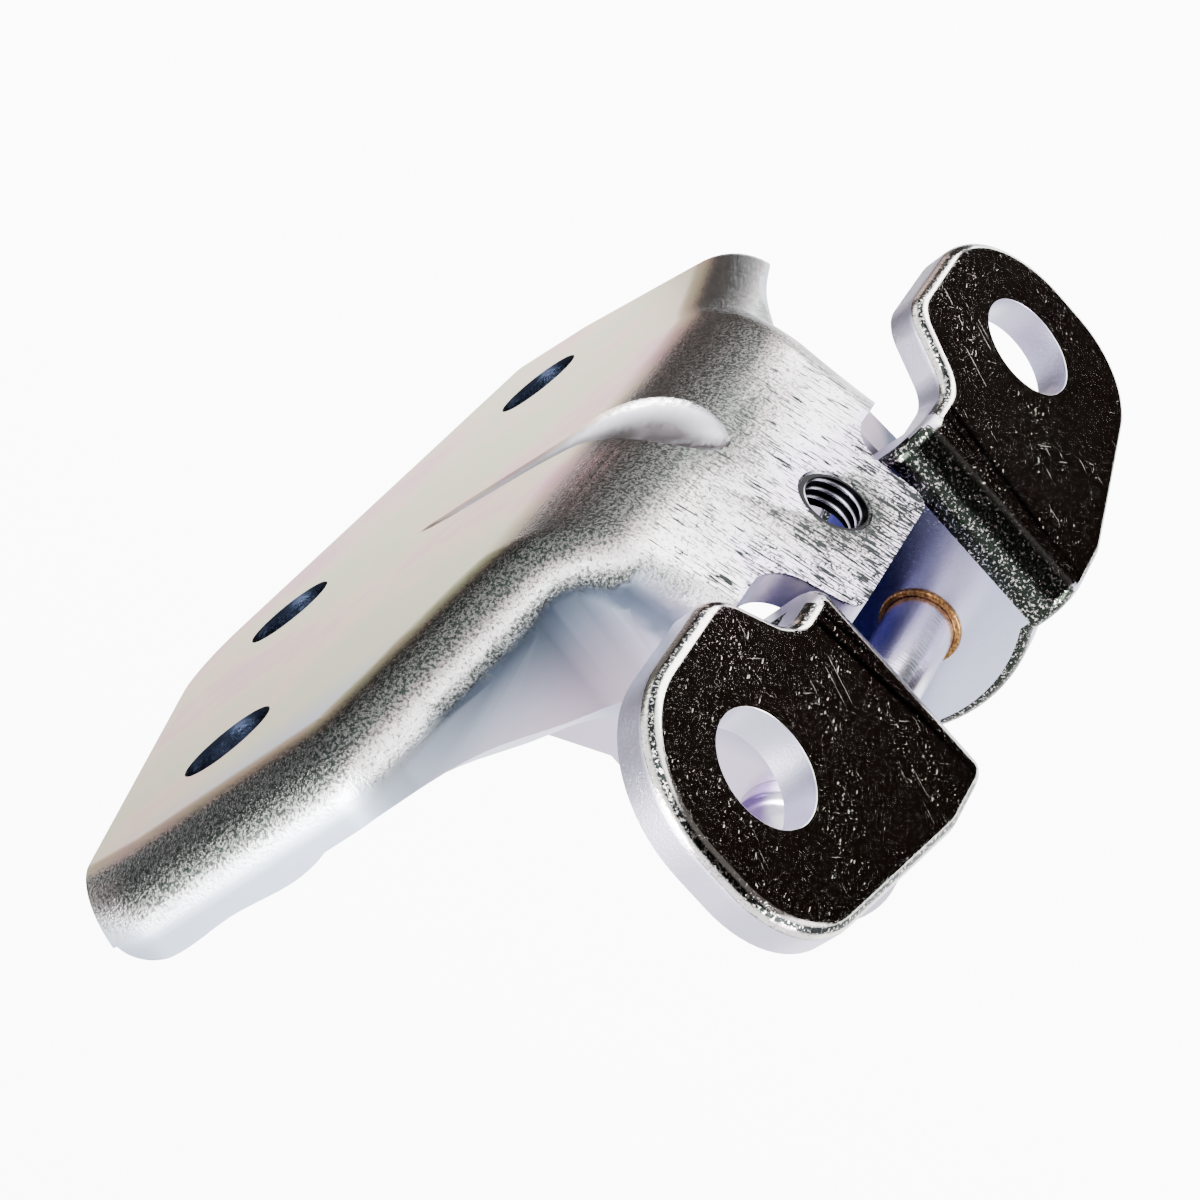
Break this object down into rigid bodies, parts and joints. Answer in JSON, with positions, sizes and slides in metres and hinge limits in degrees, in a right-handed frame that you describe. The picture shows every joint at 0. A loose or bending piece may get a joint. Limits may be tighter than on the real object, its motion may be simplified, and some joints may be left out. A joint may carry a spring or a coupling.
{
  "type": "car door hinge",
  "caption": "Bolt-on car door hinge: drawn leaf, folded bracket with two bolt tabs, turning on a fixed pin in flanged bushes",
  "frame": {"origin": "on the pin's axis, half way between the two bolt tabs", "axes": "+Z along the pin, +X the way the leaf's mounting face looks, -Y nearly the way the bolt tabs look"},
  "size_m": [0.0532, 0.0902, 0.1274],
  "materials": {
    "zinc_plate": "bright zinc plate over pressed sheet steel",
    "pin_steel": "satin zinc plate",
    "bronze": "plain sintered bronze"
  },
  "bodies": {
    "fixed_leaf": {"leaf": "zinc_plate", "pin": "pin_steel"},
    "turning_bracket": {"bracket": "zinc_plate", "bush_top": "bronze", "bush_bottom": "bronze"}
  },
  "joints": [
    {"name": "hinge_axis", "type": "hinge", "parent": "fixed_leaf", "child": "turning_bracket", "pos_m": [0, 0, 0], "axis": [0, 0, 1], "range_deg": [-70, 5]}
  ]
}
